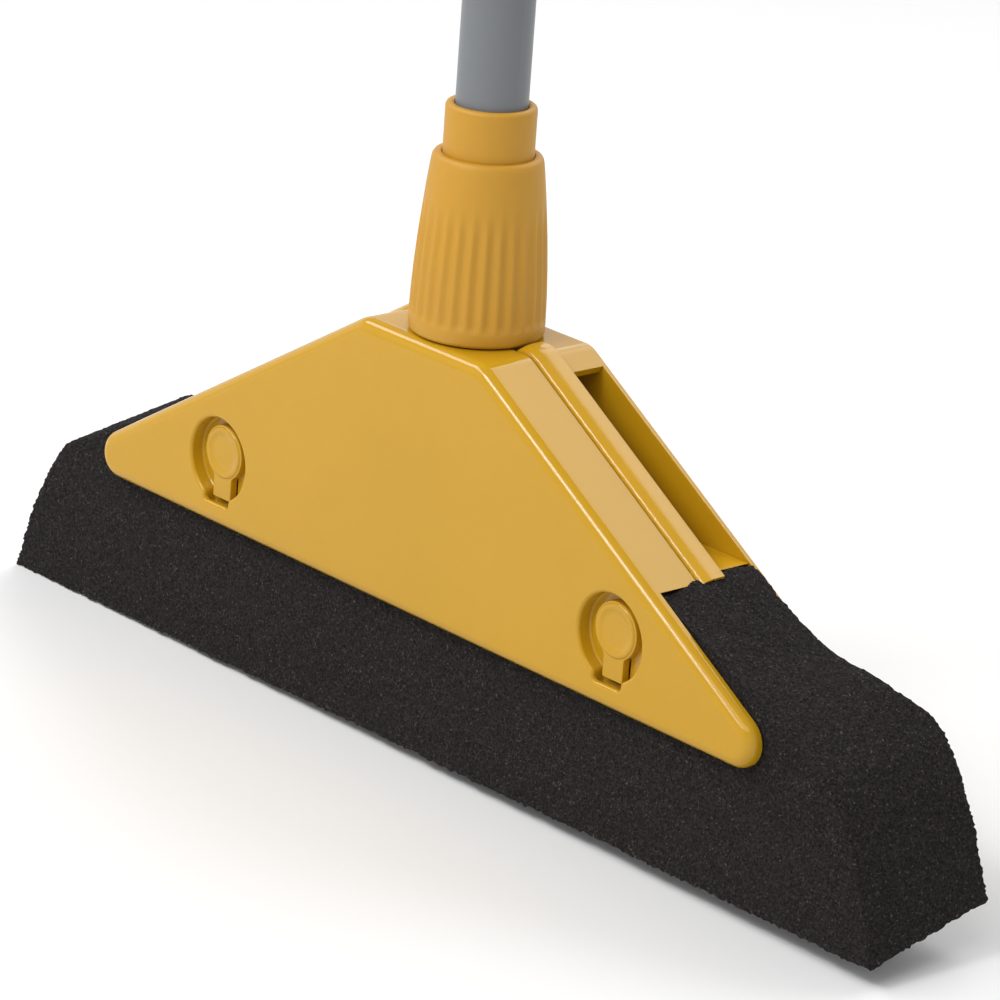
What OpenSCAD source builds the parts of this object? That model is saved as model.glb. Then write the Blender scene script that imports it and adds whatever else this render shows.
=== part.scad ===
// Long-handled foam grout float. Millimetres, +Z up the pole, X along the pad,
// -Y is the front with the two catches. The origin is where the pole's axis meets the
// foam's working face, which rises towards the back.

/* [Head] */
// Height of the flat roof above the origin
roof_z = 146; // [136:1:166]
// Height of the lower edge of the two plates
plate_low_z = 47; // [36:1:56]
// Half of the roof's width, to the sharp corner
roof_half = 31.5; // [30:0.5:45]
// Slope of the two shoulders, in degrees
shoulder_slope = 31; // [28:0.5:34]
// Front plate's outer face
front_y = -26; // [-30:0.5:-24]
// Back plate's outer face
back_y = 26; // [24:0.5:30]
// Radius of the corners between roof and shoulders
roof_corner_r = 10; // [6:0.5:12]
// Radius of the lower tips of the plates
tip_r = 9; // [6:0.5:12]
// Wall thickness of the mouldings
wall = 3; // [2:0.1:4]
// Depth of the front plate's turned-in rim, from its outer face
rim_depth = 6; // [4:0.5:8]

/* [Frame] */
// Front face of the frame's bead
bead_y0 = -2.7; // [-5:0.1:0]
// Back face of the frame's bead
bead_y1 = 7; // [5:0.1:9]
// How far the bead stands out of roof and shoulders
bead_proud = 2.6; // [1:0.1:4]

/* [Foam] */
// Length of the foam along its lowest edge
foam_l = 458; // [430:1:480]
// Height of the foam inside the head
foam_top_z = 92; // [76:1:106]
// Height of the foam's outer shoulders
foam_shoulder_z = 60; // [50:1:70]
// How far back the foam's lower back edge reaches
foam_back_y = 33; // [26:0.5:40]
// Rise of the foam's working face towards the back, in degrees
foam_bevel = 12.2; // [0:0.1:15]

/* [Pole clamp] */
// Outer diameter of the pole
pole_d = 25; // [22:0.5:28]
// Length of the pole's lower tube
lower_l = 500; // [500:10:700]
// Outer diameter of the pole's upper tube
upper_d = 22; // [19:0.5:22]
// How far the upper tube pulls out of the lower one, at least 90 less than the lower tube's length
telescope_travel = 400; // [200:10:400]
// Length of the hand grip
grip_l = 110; // [80:5:140]
// Height of the clamp nut
nut_h = 63; // [50:1:70]
// Radius of the nut at its foot
nut_foot_r = 23.6; // [22:0.1:25]
// Radius of the nut at its top
nut_top_r = 19.3; // [18:0.1:21]
// Number of grip flutes round the nut
flutes = 28; // [20:1:36]
// Radius of the collet's rim, which shows above the nut
collet_r = 15.7; // [15:0.1:17]
// How far the collet stands out of the nut
collet_proud = 17.4; // [8:0.1:20]

/* [Catches] */
// Distance of each catch from the middle of the head
catch_x = 104; // [90:1:115]
// Height of the middle of a catch's cup
catch_z = 72.6; // [68:0.1:76]
// Diameter of the round cup in the front plate
cup_d = 30.5; // [28:0.5:34]
// Diameter of the catch's round thumb pad
thumb_d = 20.5; // [18:0.5:24]
// Width of the catch's neck
neck_w = 10; // [8:0.5:12]
// How far a catch slides up
catch_travel = 2.5; // [1.5:0.1:3]

/* [Hidden] */

$fn = 64;
yellow = [0.82, 0.62, 0.20];
matt_yellow = [0.83, 0.62, 0.18];
steel = [0.70, 0.71, 0.73];
pole_grey = [0.47, 0.49, 0.51];
charcoal = [0.16, 0.15, 0.15];

gap = 0.3;
running = 0.05;
cut = 1;
pole_r = pole_d / 2;
plate_in_y = front_y + wall;
rim_in_y = front_y + rim_depth;
back_in_y = back_y - wall;
shelf_z = foam_top_z + 0.5;
shelf_t = 1.5;
web_y0 = 0.5;
web_y1 = 3.5;

// Half the head's width at height z, for an outline drawn `inset` inside the real one
function half_width(z, inset) =
    roof_half + ((roof_z - z) * cos(shoulder_slope) - inset) / sin(shoulder_slope);

function unit(v) = v / norm(v);

// Points of an arc of radius r that rounds the corner b between a and c
function round_corner(a, b, c, r, steps = 8) =
    let(u = unit(a - b), w = unit(c - b),
        half = acos(u * w) / 2,
        middle = b + unit(u + w) * r / sin(half),
        p = b + u * r / tan(half), q = b + w * r / tan(half),
        a0 = atan2(p[1] - middle[1], p[0] - middle[0]),
        a1 = atan2(q[1] - middle[1], q[0] - middle[0]),
        turn = (a1 - a0 > 180) ? a1 - a0 - 360 : (a1 - a0 < -180) ? a1 - a0 + 360 : a1 - a0)
    [for (i = [0:steps]) middle + r * [cos(a0 + turn * i / steps), sin(a0 + turn * i / steps)]];

// A closed outline through corners, each rounded by its own radius
function rounded(pts, radii) =
    let(n = len(pts))
    [for (i = [0:n - 1]) each round_corner(pts[(i + n - 1) % n], pts[i], pts[(i + 1) % n], radii[i])];

// The head's outline seen from the front, drawn `inset` inside its outer edge
function head_points(inset) =
    let(top = roof_z - inset, low = plate_low_z + inset,
        ht = half_width(top, inset), hl = half_width(low, inset),
        rt = roof_corner_r - inset, rl = tip_r - inset)
    rounded([[-hl, low], [hl, low], [ht, top], [-ht, top]], [rl, rl, rt, rt]);

module head_outline(inset = 0) {
    polygon(head_points(inset));
}

// The part of the outline above height z
module above(z, half = 300) {
    translate([-half, z]) square([2 * half, 300]);
}

// Extrudes a front-view shape from y0 to y1
module slab(y0, y1) {
    translate([0, y1, 0]) rotate([90, 0, 0]) linear_extrude(y1 - y0) children();
}

// A round bar along Y at (x, z)
module y_bar(x, z, r, y0, y1) {
    translate([x, y1, z]) rotate([90, 0, 0]) cylinder(r = r, h = y1 - y0);
}

// ---------------------------------------------------------------- catches and cups
cup_r = cup_d / 2;
cup_floor_y = front_y + 5.6;
cup_back_y = cup_floor_y + 1.6;
thumb_r = thumb_d / 2;
thumb_z = catch_z + 2;
thumb_y0 = front_y + 2.2;
thumb_y1 = cup_floor_y;
neck_low_z = catch_z - 15.6;
notch_w = 13.5;
notch_low_z = catch_z - 19;
pass = 0.4;
post_r = 10;
post_front_y = cup_back_y + gap;
stem_w = 5;
stem_h = 6;
stem_y1 = post_front_y + 9;
spring_r = 1.8;

// Front view of a catch: a round thumb pad with a neck below it
module catch_outline(x, grow = 0) {
    translate([x, thumb_z]) circle(r = thumb_r + grow);
    translate([x - neck_w / 2 - grow, neck_low_z - grow])
        square([neck_w + 2 * grow, thumb_z - neck_low_z]);
}

module cup_opening(x) {
    y_bar(x, catch_z, cup_r, front_y - cut, cup_floor_y);
    slab(front_y - cut, cup_floor_y)
        translate([x - notch_w / 2, notch_low_z]) square([notch_w, catch_z - notch_low_z]);
    slab(front_y, cup_back_y + cut) {
        catch_outline(x, pass);
        translate([0, catch_travel]) catch_outline(x, pass);
    }
}

// Way through the pad for a post and for the catch on its end
module post_way(x, y0, y1) {
    y_bar(x, thumb_z, post_r + 0.5, y0, y1);
    slab(y0, y1) {
        catch_outline(x, 2 * pass);
        translate([0, catch_travel]) catch_outline(x, 2 * pass);
    }
}

module cup_wall(x) {
    y_bar(x, catch_z, cup_r + 2, front_y + cut, cup_back_y);
    slab(front_y + cut, cup_back_y)
        translate([x - notch_w / 2 - 2, notch_low_z - 2]) square([notch_w + 4, catch_z - notch_low_z]);
}

module catch(x) {
    color(yellow) {
        difference() {
            slab(thumb_y0, thumb_y1) catch_outline(x);
            y_bar(x, thumb_z, thumb_r - 2.6, thumb_y0 - cut, thumb_y0 + 0.7);
        }
        translate([x - stem_w / 2, thumb_y1 - cut, thumb_z - stem_h / 2])
            cube([stem_w, stem_y1 - thumb_y1 + cut, stem_h]);
    }
}

module catch_left() { catch(-catch_x); }
module catch_right() { catch(catch_x); }

// The little compression spring that stands on a catch's stem inside its post
spring_z0 = thumb_z + stem_h / 2;
spring_z1 = spring_z0 + catch_travel + 3.2;
spring_y = post_front_y + 5;
module catch_spring(x) {
    color(steel) translate([x, spring_y, spring_z0]) difference() {
        cylinder(r = spring_r, h = spring_z1 - spring_z0);
        translate([0, 0, -cut]) cylinder(r = spring_r - 0.5, h = spring_z1 - spring_z0 + 2 * cut);
    }
}

module catch_spring_left() { catch_spring(-catch_x); }
module catch_spring_right() { catch_spring(catch_x); }

// ---------------------------------------------------------------- shells
nut_z0 = roof_z + gap;
spigot_r = 17;
shell_end_y = bead_y0 - gap;
screw_spots = [for (s = [[-84, -43], [-48, -24], [48, -24], [84, -43]]) [s[0], roof_z + s[1]]];
boss_r = 4.2;
screw_r = 1.6;

module front_shell() {
    color(yellow) difference() {
        union() {
            slab(front_y, plate_in_y) head_outline();
            slab(front_y, rim_in_y) difference() { head_outline(); head_outline(wall); }
            slab(front_y, shell_end_y) intersection() {
                difference() { head_outline(); head_outline(wall); }
                above(shelf_z);
            }
            for (s = screw_spots) y_bar(s[0], s[1], boss_r, plate_in_y - cut, web_y0 - 0.1);
            for (x = [-catch_x, catch_x]) cup_wall(x);
        }
        for (x = [-catch_x, catch_x]) cup_opening(x);
        for (s = screw_spots) y_bar(s[0], s[1], screw_r, plate_in_y + 3, web_y0 + cut);
        translate([0, 0, roof_z - 10]) cylinder(r = socket_flange_r + gap, h = 20);
    }
}

roof_wrap_half = 40;

module back_shell() {
    color(yellow) {
        difference() {
            union() {
                slab(back_in_y, back_y) head_outline();
                slab(bead_y1 + gap, back_y) intersection() {
                    difference() { head_outline(); head_outline(wall); }
                    translate([-roof_wrap_half, roof_z - 15]) square([2 * roof_wrap_half, 30]);
                }
                for (x = [-catch_x, catch_x]) y_bar(x, thumb_z, post_r, post_front_y, back_in_y + cut);
            }
            translate([0, 0, roof_z - 10]) cylinder(r = socket_flange_r + gap, h = 20);
            for (x = [-catch_x, catch_x])
                translate([x - stem_w / 2 - 0.1, post_front_y - cut, thumb_z - stem_h / 2 - 0.2])
                    cube([stem_w + 0.2, stem_y1 - post_front_y + cut + gap,
                        spring_z1 - thumb_z + stem_h / 2 + 0.2]);
        }
    }
}

// ---------------------------------------------------------------- frame and socket
socket_r = 14.8;
socket_flange_r = 19;
boss_low_z = roof_z - 30;
pole_low_z = roof_z - 23;
spigot_top_z = nut_z0 + 42;
shelf_half = half_width(shelf_z + shelf_t, wall) - 1;
grub_r = 1.5;
grub_z = boss_low_z + 14;
grub_head_x = socket_flange_r - 1.2;

// The bead's front view, each end cut square to the shoulder at the shelf's height
module bead_band() {
    difference() {
        intersection() { head_outline(-bead_proud); above(shelf_z); }
        head_outline(5);
        for (side = [0, 1]) mirror([side, 0])
            translate([half_width(shelf_z, 0), shelf_z]) rotate(-shoulder_slope) square(4 * bead_proud);
    }
}

module centre_frame() {
    color(yellow) difference() {
        union() {
            slab(bead_y0, bead_y1) bead_band();
            slab(bead_y1 - cut, back_in_y - gap) intersection() {
                head_outline(gap);
                translate([-shelf_half - 20, shelf_z]) square([2 * shelf_half + 40, shelf_t]);
            }
            slab(web_y0, web_y1) intersection() { head_outline(2); above(shelf_z); }
            translate([0, 0, boss_low_z]) cylinder(r = socket_flange_r, h = roof_z - boss_low_z - 3);
            translate([-shelf_half, rim_in_y + gap, shelf_z])
                cube([2 * shelf_half, back_in_y - rim_in_y - 2 * gap, shelf_t]);
        }
        translate([0, 0, boss_low_z - cut]) cylinder(r = socket_r, h = 60);
        translate([0, 0, roof_z - 3]) cylinder(r = nut_foot_r + 0.6, h = 20);
        for (s = screw_spots) y_bar(s[0], s[1], screw_r + 0.1, web_y0 - cut, web_y1 + cut);
        socket_screw_holes();
    }
}

module frame_screws() {
    color(steel) for (s = screw_spots) {
        y_bar(s[0], s[1], screw_r, plate_in_y + 8, web_y1);
        difference() {
            y_bar(s[0], s[1], 3, web_y1, web_y1 + 2);
            translate([s[0] - 2, web_y1 + 1, s[1] - 0.4]) cube([4, 2, 0.8]);
            translate([s[0] - 0.4, web_y1 + 1, s[1] - 2]) cube([0.8, 2, 4]);
        }
    }
}

module pole_socket() {
    color(matt_yellow) difference() {
        union() {
            translate([0, 0, boss_low_z]) cylinder(r = socket_r, h = roof_z - boss_low_z);
            translate([0, 0, roof_z - 3]) cylinder(r = socket_flange_r, h = 3);
            translate([0, 0, roof_z - cut]) cylinder(r = spigot_r - 1.2, h = spigot_top_z - roof_z + cut);
            for (z = [nut_z0 + 4:4:spigot_top_z - 4])
                translate([0, 0, z]) cylinder(r1 = spigot_r - 1.2, r2 = spigot_r, h = 1);
        }
        translate([0, 0, pole_low_z - 2]) cylinder(r = pole_r + 2 * running, h = 200);
        socket_screw_holes();
    }
}

// The two screws that hold the socket's foot in the frame's boss, and their holes
module both_sides() {
    for (a = [0, 180]) rotate([0, 0, a]) children();
}

module socket_screw_holes() {
    both_sides() {
        translate([pole_r + 0.7, 0, grub_z]) rotate([0, 90, 0]) cylinder(r = grub_r, h = 20);
        translate([grub_head_x, 0, grub_z]) rotate([0, 90, 0]) cylinder(r = 2 * grub_r + 0.1, h = 20);
    }
}

module socket_screws() {
    color(steel) both_sides() {
        translate([pole_r + 0.7, 0, grub_z]) rotate([0, 90, 0])
            cylinder(r = grub_r, h = grub_head_x - pole_r - 0.7 + 0.1);
        translate([grub_head_x, 0, grub_z]) rotate([0, 90, 0]) cylinder(r = 2 * grub_r, h = 1.6);
    }
}

// ---------------------------------------------------------------- nut, collet, pole
nut_top_z = nut_z0 + nut_h;
collet_low_z = spigot_top_z + 1;
collet_top_z = nut_top_z + collet_proud;
throat_r = collet_r + running;

module clamp_nut() {
    flute_r = 2.6;
    color(matt_yellow) difference() {
        translate([0, 0, nut_z0]) rotate_extrude() polygon([
            [spigot_r + running, 0], [nut_foot_r - 0.6, 0], [nut_foot_r, 1.2], [nut_foot_r, 8],
            [nut_top_r + 2.4, nut_h * 0.62], [nut_top_r, nut_h - 2], [nut_top_r - 1.5, nut_h],
            [throat_r, nut_h], [throat_r, nut_h - 16], [spigot_r + running, nut_h - 18]
        ]);
        for (i = [0:flutes - 1]) rotate([0, 0, (i + 0.5) * 360 / flutes])
            translate([nut_foot_r + flute_r - 0.9, 0, nut_z0 + 8])
                rotate([0, -3.2, 0]) cylinder(r = flute_r, h = nut_h * 0.62, $fn = 16);
    }
}

module collet() {
    slit_top = nut_top_z - 4;
    color(matt_yellow) difference() {
        translate([0, 0, collet_low_z]) rotate_extrude() polygon([
            [pole_r + running, 0], [collet_r - 0.6, 0],
            [collet_r - 0.6, nut_top_z - 18 - collet_low_z], [collet_r, nut_top_z - 16 - collet_low_z],
            [collet_r, collet_top_z - 1 - collet_low_z], [collet_r - 1, collet_top_z - collet_low_z],
            [pole_r + 0.8, collet_top_z - collet_low_z], [pole_r + running, collet_top_z - 1 - collet_low_z]
        ]);
        for (a = [0, 90, 180, 270]) rotate([0, 0, a + 45])
            translate([0, -1, collet_low_z - cut]) cube([20, 2, slit_top - collet_low_z]);
    }
}

// ---------------------------------------------------------------- telescopic pole
tube_t = 1;
lower_bore_r = pole_r - tube_t;
lower_top_z = pole_low_z + lower_l;
upper_r = upper_d / 2;

// A tube of wall tube_t round the Z axis
module tube(r, z0, z1) {
    translate([0, 0, z0]) difference() {
        cylinder(r = r, h = z1 - z0);
        translate([0, 0, -cut]) cylinder(r = r - tube_t, h = z1 - z0 + 2 * cut);
    }
}

module lower_tube() {
    color(pole_grey) tube(pole_r, pole_low_z, lower_top_z);
}

module foot_plug() {
    color(charcoal) {
        translate([0, 0, pole_low_z - 1.5]) cylinder(r = pole_r, h = 1.5);
        translate([0, 0, pole_low_z]) cylinder(r = lower_bore_r, h = 14);
    }
}

// The lower tube's top end: a sleeve pressed over it, whose thin collar grips the upper tube
lock_skirt = 30;
lock_collar_h = 22;
lock_sleeve_r = pole_r + 2.2;
lock_collar_r = 14;
module lock_sleeve() {
    color(matt_yellow) difference() {
        union() {
            translate([0, 0, lower_top_z - lock_skirt]) cylinder(r = lock_sleeve_r, h = lock_skirt + 3);
            translate([0, 0, lower_top_z]) cylinder(r = lock_collar_r, h = lock_collar_h);
        }
        translate([0, 0, lower_top_z - lock_skirt - cut]) cylinder(r = pole_r, h = lock_skirt + cut);
        translate([0, 0, lower_top_z - cut]) cylinder(r = upper_r + running, h = lock_collar_h + 2 * cut);
        for (a = [0, 90]) rotate([0, 0, a])
            translate([-20, -0.8, lower_top_z + 8]) cube([40, 1.6, lock_collar_h]);
    }
}

lock_nut_z0 = lower_top_z + 3 + gap;
lock_nut_h = 34;
lock_nut_r = 18;
lock_nut_top_r = 15.5;
module lock_nut() {
    lock_flutes = 20;
    flute_r = 2.2;
    color(matt_yellow) difference() {
        translate([0, 0, lock_nut_z0]) rotate_extrude() polygon([
            [lock_collar_r + running, 0], [lock_nut_r - 0.6, 0], [lock_nut_r, 1], [lock_nut_r, 5],
            [lock_nut_top_r, lock_nut_h - 1.5], [lock_nut_top_r - 1.5, lock_nut_h],
            [upper_r + 2 * running, lock_nut_h], [upper_r + 2 * running, lock_nut_h - 10],
            [lock_collar_r + running, lock_nut_h - 13]
        ]);
        for (i = [0:lock_flutes - 1]) rotate([0, 0, (i + 0.5) * 360 / lock_flutes])
            translate([lock_nut_r + flute_r - 0.8, 0, lock_nut_z0 + 5])
                rotate([0, -4.5, 0]) cylinder(r = flute_r, h = lock_nut_h * 0.6, $fn = 16);
    }
}

grip_z0 = lock_nut_z0 + lock_nut_h + 2;
grip_z1 = grip_z0 + grip_l;
upper_low_z = lower_top_z - telescope_travel - 20;
bush_l = 30;

module upper_tube() {
    color(pole_grey) tube(upper_r, upper_low_z, grip_z1 - 6);
}

// Bush on the upper tube's lower end that slides in the lower tube
module slide_bush() {
    color(charcoal) translate([0, 0, upper_low_z - bush_l]) {
        cylinder(r = lower_bore_r - running, h = bush_l);
        cylinder(r = upper_r - tube_t, h = bush_l + 14);
    }
}

grip_r = 15;
module hand_grip() {
    color(charcoal) difference() {
        translate([0, 0, grip_z0]) rotate_extrude() polygon([
            [upper_r, 0], [grip_r - 1.5, 0], [grip_r, 1.5], [grip_r, 6],
            for (i = [0:8]) [grip_r - 1.6 * sin(i * 22.5), 6 + i * (grip_l - 18) / 8],
            [grip_r, grip_l - 6], [grip_r - 1, grip_l - 5], [upper_r, grip_l - 5]
        ]);
    }
}

// Cap on the upper tube's end, with a flat eye to hang the tool by
cap_z0 = grip_z1 - 5 + gap;
cap_h = 9;
eye_z = cap_z0 + cap_h + 13;
eye_w = 20;
eye_t = 7;
eye_r = 4.5;
module end_cap() {
    color(matt_yellow) difference() {
        union() {
            translate([0, 0, cap_z0]) rotate_extrude() polygon([
                [0, 0], [grip_r, 0], [grip_r, cap_h - 4], [grip_r - 4, cap_h], [0, cap_h]
            ]);
            translate([0, 0, cap_z0 - 25]) cylinder(r = upper_r - tube_t, h = 25 + cut);
            slab(-eye_t / 2, eye_t / 2) {
                translate([0, eye_z]) circle(r = eye_w / 2);
                translate([-eye_w / 2, cap_z0 + cap_h - 3]) square([eye_w, eye_z - cap_z0 - cap_h + 3]);
            }
        }
        y_bar(0, eye_z, eye_r, -20, 20);
    }
}

// ---------------------------------------------------------------- foam
foam_half = foam_l / 2;
foam_front_y = rim_in_y + gap;
foam_inner_back_y = back_in_y - gap;
foam_low_z = foam_front_y * tan(foam_bevel);
flush_half = half_width(foam_top_z, 0);
shoulder_x0 = half_width(foam_shoulder_z + 16, 0);
shoulder_x1 = foam_half - 26;
board_y0 = -2;
board_y1 = 2;

module foam_pad() {
    color(charcoal) difference() {
        intersection() {
            slab(foam_front_y - 20, foam_back_y + 20) polygon(rounded([
                [-foam_half, foam_low_z], [foam_half, foam_low_z], [shoulder_x1, foam_shoulder_z],
                [shoulder_x0, foam_shoulder_z + 14], [flush_half - 0.5, foam_top_z],
                [-flush_half + 0.5, foam_top_z],
                [-shoulder_x0, foam_shoulder_z + 14], [-shoulder_x1, foam_shoulder_z]
            ], [1, 1, 14, 20, 1, 1, 20, 14]));
            translate([-foam_half - cut, 0, 0]) rotate([90, 0, 90])
                linear_extrude(foam_l + 2 * cut) polygon([
                    [foam_front_y, foam_low_z], [foam_back_y, foam_back_y * tan(foam_bevel)],
                    [foam_inner_back_y, plate_low_z - 2],
                    [foam_inner_back_y, foam_top_z + cut], [foam_front_y, foam_top_z + cut]
                ]);
        }
        for (x = [-catch_x, catch_x]) {
            post_way(x, foam_front_y - cut, foam_back_y + cut);
            y_bar(x, catch_z, cup_r + 2.6, foam_front_y - cut, cup_back_y + gap);
            slab(foam_front_y - cut, cup_back_y + gap)
                translate([x - notch_w / 2 - 2.6, notch_low_z - 2.6])
                    square([notch_w + 5.2, catch_z - notch_low_z]);
        }
        translate([-board_half - gap, board_y0 - gap, board_z0 - gap])
            cube([2 * (board_half + gap), board_y1 - board_y0 + 2 * gap, board_h + 2 * gap]);
    }
}

// Stiff strip moulded into the foam, with a hole for each post
board_half = 118;
board_z0 = plate_low_z + 3;
board_h = foam_top_z - 2.5 - board_z0;
module pad_board() {
    color(charcoal) difference() {
        translate([-board_half, board_y0, board_z0]) cube([2 * board_half, board_y1 - board_y0, board_h]);
        for (x = [-catch_x, catch_x]) post_way(x, board_y0 - cut, board_y1 + cut);
    }
}

front_shell();
back_shell();
centre_frame();
frame_screws();
pole_socket();
socket_screws();
clamp_nut();
collet();
lower_tube();
foot_plug();
lock_sleeve();
lock_nut();
upper_tube();
slide_bush();
hand_grip();
end_cap();
foam_pad();
pad_board();
catch_left();
catch_right();
catch_spring_left();
catch_spring_right();
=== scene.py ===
import bpy
import bmesh
import math
import numpy as np
from mathutils import Matrix, Vector, noise


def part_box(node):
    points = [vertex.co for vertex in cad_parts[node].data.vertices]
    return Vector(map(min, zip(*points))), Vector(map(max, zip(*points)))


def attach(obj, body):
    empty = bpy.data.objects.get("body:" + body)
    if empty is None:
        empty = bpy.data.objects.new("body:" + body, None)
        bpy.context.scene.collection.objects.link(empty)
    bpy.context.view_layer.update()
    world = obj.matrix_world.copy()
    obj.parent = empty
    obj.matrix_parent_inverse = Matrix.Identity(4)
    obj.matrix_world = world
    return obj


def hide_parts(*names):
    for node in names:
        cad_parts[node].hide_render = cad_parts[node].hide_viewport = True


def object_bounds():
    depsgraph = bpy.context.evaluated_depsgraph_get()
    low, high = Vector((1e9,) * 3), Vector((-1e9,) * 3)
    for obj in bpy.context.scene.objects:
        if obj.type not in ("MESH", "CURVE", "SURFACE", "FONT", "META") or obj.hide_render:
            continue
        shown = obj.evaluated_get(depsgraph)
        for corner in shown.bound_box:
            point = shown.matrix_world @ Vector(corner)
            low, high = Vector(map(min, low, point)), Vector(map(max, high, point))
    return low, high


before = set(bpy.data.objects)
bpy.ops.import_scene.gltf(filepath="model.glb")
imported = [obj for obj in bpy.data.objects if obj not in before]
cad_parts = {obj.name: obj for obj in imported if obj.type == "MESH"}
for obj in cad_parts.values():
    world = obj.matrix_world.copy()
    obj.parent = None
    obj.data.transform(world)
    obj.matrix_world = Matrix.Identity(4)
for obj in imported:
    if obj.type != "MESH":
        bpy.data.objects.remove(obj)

cad_low, cad_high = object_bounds()

# ---------------------------------------------------------------- camera
# A long lens, turned to the front right of the head and raised a little, with a slight lean.
# It is placed from the head's roof, which is the height that the pole stands on.
mm = 0.001
roof_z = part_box("front_shell")[1].z
view_turn = math.radians(47.22)
view_rise = math.radians(19.11)
view_lean = math.radians(4.17)
view_distance = 1719.9 * mm
view_right = 9.61 * mm
view_up = -39.21 * mm

camera_back = Vector((math.sin(view_turn) * math.cos(view_rise),
                      -math.cos(view_turn) * math.cos(view_rise), math.sin(view_rise)))
level_right = Vector((math.cos(view_turn), math.sin(view_turn), 0))
level_up = camera_back.cross(level_right)
camera_right = level_right * math.cos(view_lean) + level_up * math.sin(view_lean)
camera_up = level_up * math.cos(view_lean) - level_right * math.sin(view_lean)
camera_place = (Vector((0, 0, roof_z - 20 * mm)) + camera_back * view_distance
                + camera_right * view_right + camera_up * view_up)

camera_data = bpy.data.cameras.new("camera")
camera_data.sensor_width = 36
camera_data.lens = 180
camera = bpy.data.objects.new("camera", camera_data)
camera.matrix_world = Matrix.Translation(camera_place) @ Matrix(
    (camera_right, camera_up, camera_back)).transposed().to_4x4()
bpy.context.scene.collection.objects.link(camera)
bpy.context.scene.camera = camera
bpy.context.scene.view_settings.view_transform = "Standard"

# ---------------------------------------------------------------- studio
# A pale floor close under the pad, and a white surround that is brighter near the horizon. A
# long softbox over the front left and a small strong one beside it draw the lines along the
# plate's edges, a weak one at the right fills the recesses, and two stand behind.
floor_data = bpy.data.meshes.new("floor")
bm = bmesh.new()
floor_half = 30
pad_sag = 4 * mm
bmesh.ops.create_grid(bm, x_segments=1, y_segments=1, size=floor_half)
bmesh.ops.translate(bm, verts=bm.verts, vec=(0, 0, cad_low.z - pad_sag))
bm.to_mesh(floor_data)
bm.free()
floor = bpy.data.objects.new("floor", floor_data)
bpy.context.scene.collection.objects.link(floor)
floor_paint = bpy.data.materials.new("floor_paint")
floor_paint.use_nodes = True
paint = floor_paint.node_tree.nodes["Principled BSDF"]
paint.inputs["Base Color"].default_value = (0.80, 0.80, 0.80, 1)
paint.inputs["Roughness"].default_value = 0.7
paint.inputs["Specular IOR Level"].default_value = 0.2
floor_data.materials.append(floor_paint)

world = bpy.data.worlds.new("white_surround")
world.use_nodes = True
sky = world.node_tree
direction = sky.nodes.new("ShaderNodeTexCoord")
height = sky.nodes.new("ShaderNodeSeparateXYZ")
fade = sky.nodes.new("ShaderNodeMapRange")
fade.inputs["From Min"].default_value = 0.30
fade.inputs["From Max"].default_value = 0.62
fade.inputs["To Min"].default_value = 0.92
fade.inputs["To Max"].default_value = 0.42
sky.links.new(direction.outputs["Generated"], height.inputs[0])
sky.links.new(height.outputs["Z"], fade.inputs["Value"])
sky.links.new(fade.outputs[0], sky.nodes["Background"].inputs["Strength"])
sky.nodes["Background"].inputs["Color"].default_value = (1, 1, 1, 1)
bpy.context.scene.world = world

light_target = Vector((0, 0, 100 * mm))


def softbox(name, turn, rise, distance, width, height, radiance):
    """A rectangular light facing the head; turn goes from the front (-Y) towards +X, in degrees"""
    data = bpy.data.lights.new(name, "AREA")
    data.shape = "RECTANGLE"
    data.size = width
    data.size_y = height
    data.energy = radiance * math.pi * width * height
    light = bpy.data.objects.new(name, data)
    turn, rise = math.radians(turn), math.radians(rise)
    out = Vector((math.sin(turn) * math.cos(rise), -math.cos(turn) * math.cos(rise), math.sin(rise)))
    aim = out.to_track_quat("Z", "Y").to_matrix().to_4x4()
    light.matrix_world = Matrix.Translation(light_target + out * distance) @ aim
    bpy.context.scene.collection.objects.link(light)


softbox("front_softbox", turn=-40, rise=47, distance=1.8, width=2.3, height=0.42, radiance=6.3)
softbox("edge_strip", turn=-3, rise=49, distance=2.0, width=0.5, height=0.3, radiance=17)
softbox("right_softbox", turn=33, rise=52, distance=2.0, width=1.3, height=0.9, radiance=2.2)
softbox("rear_low_softbox", turn=-160, rise=33, distance=2.0, width=2.2, height=0.62, radiance=1.6)
softbox("rear_high_softbox", turn=-180, rise=55, distance=2.0, width=1.6, height=0.85, radiance=2.6)

# ---------------------------------------------------------------- front shell
# The glossy yellow moulding in front of the pad: a flat plate with a rolled edge, a turned-in
# rim, the front half of roof and shoulders, two round cups for the catches and four screw
# bosses. It is injection-moulded and screwed to the frame behind it.
slope = math.radians(31)
roof_half = 31.5 * mm
roof_corner_r = 10 * mm
tip_r = 9 * mm
wall = 3 * mm
front_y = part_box("front_shell")[0].y
shell_end_y = -3 * mm
plate_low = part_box("front_shell")[0].z
shelf_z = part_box("foam_pad")[1].z + 0.5 * mm
rolled_edge = 4.7 * mm
rim_depth = 6 * mm
small_edge = 0.4 * mm


def arc(middle, radius, start, turn, steps):
    """Points of an arc, seen from the front as (x, z); angles in radians"""
    return [Vector((middle[0] + radius * math.cos(start + turn * i / steps),
                    middle[1] + radius * math.sin(start + turn * i / steps))) for i in range(steps + 1)]


def circle_line(x, z, radius, steps=32):
    """A closed circle round (x, z)"""
    return arc((x, z), radius, 0, 2 * math.pi * (steps - 1) / steps, steps - 1)


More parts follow.
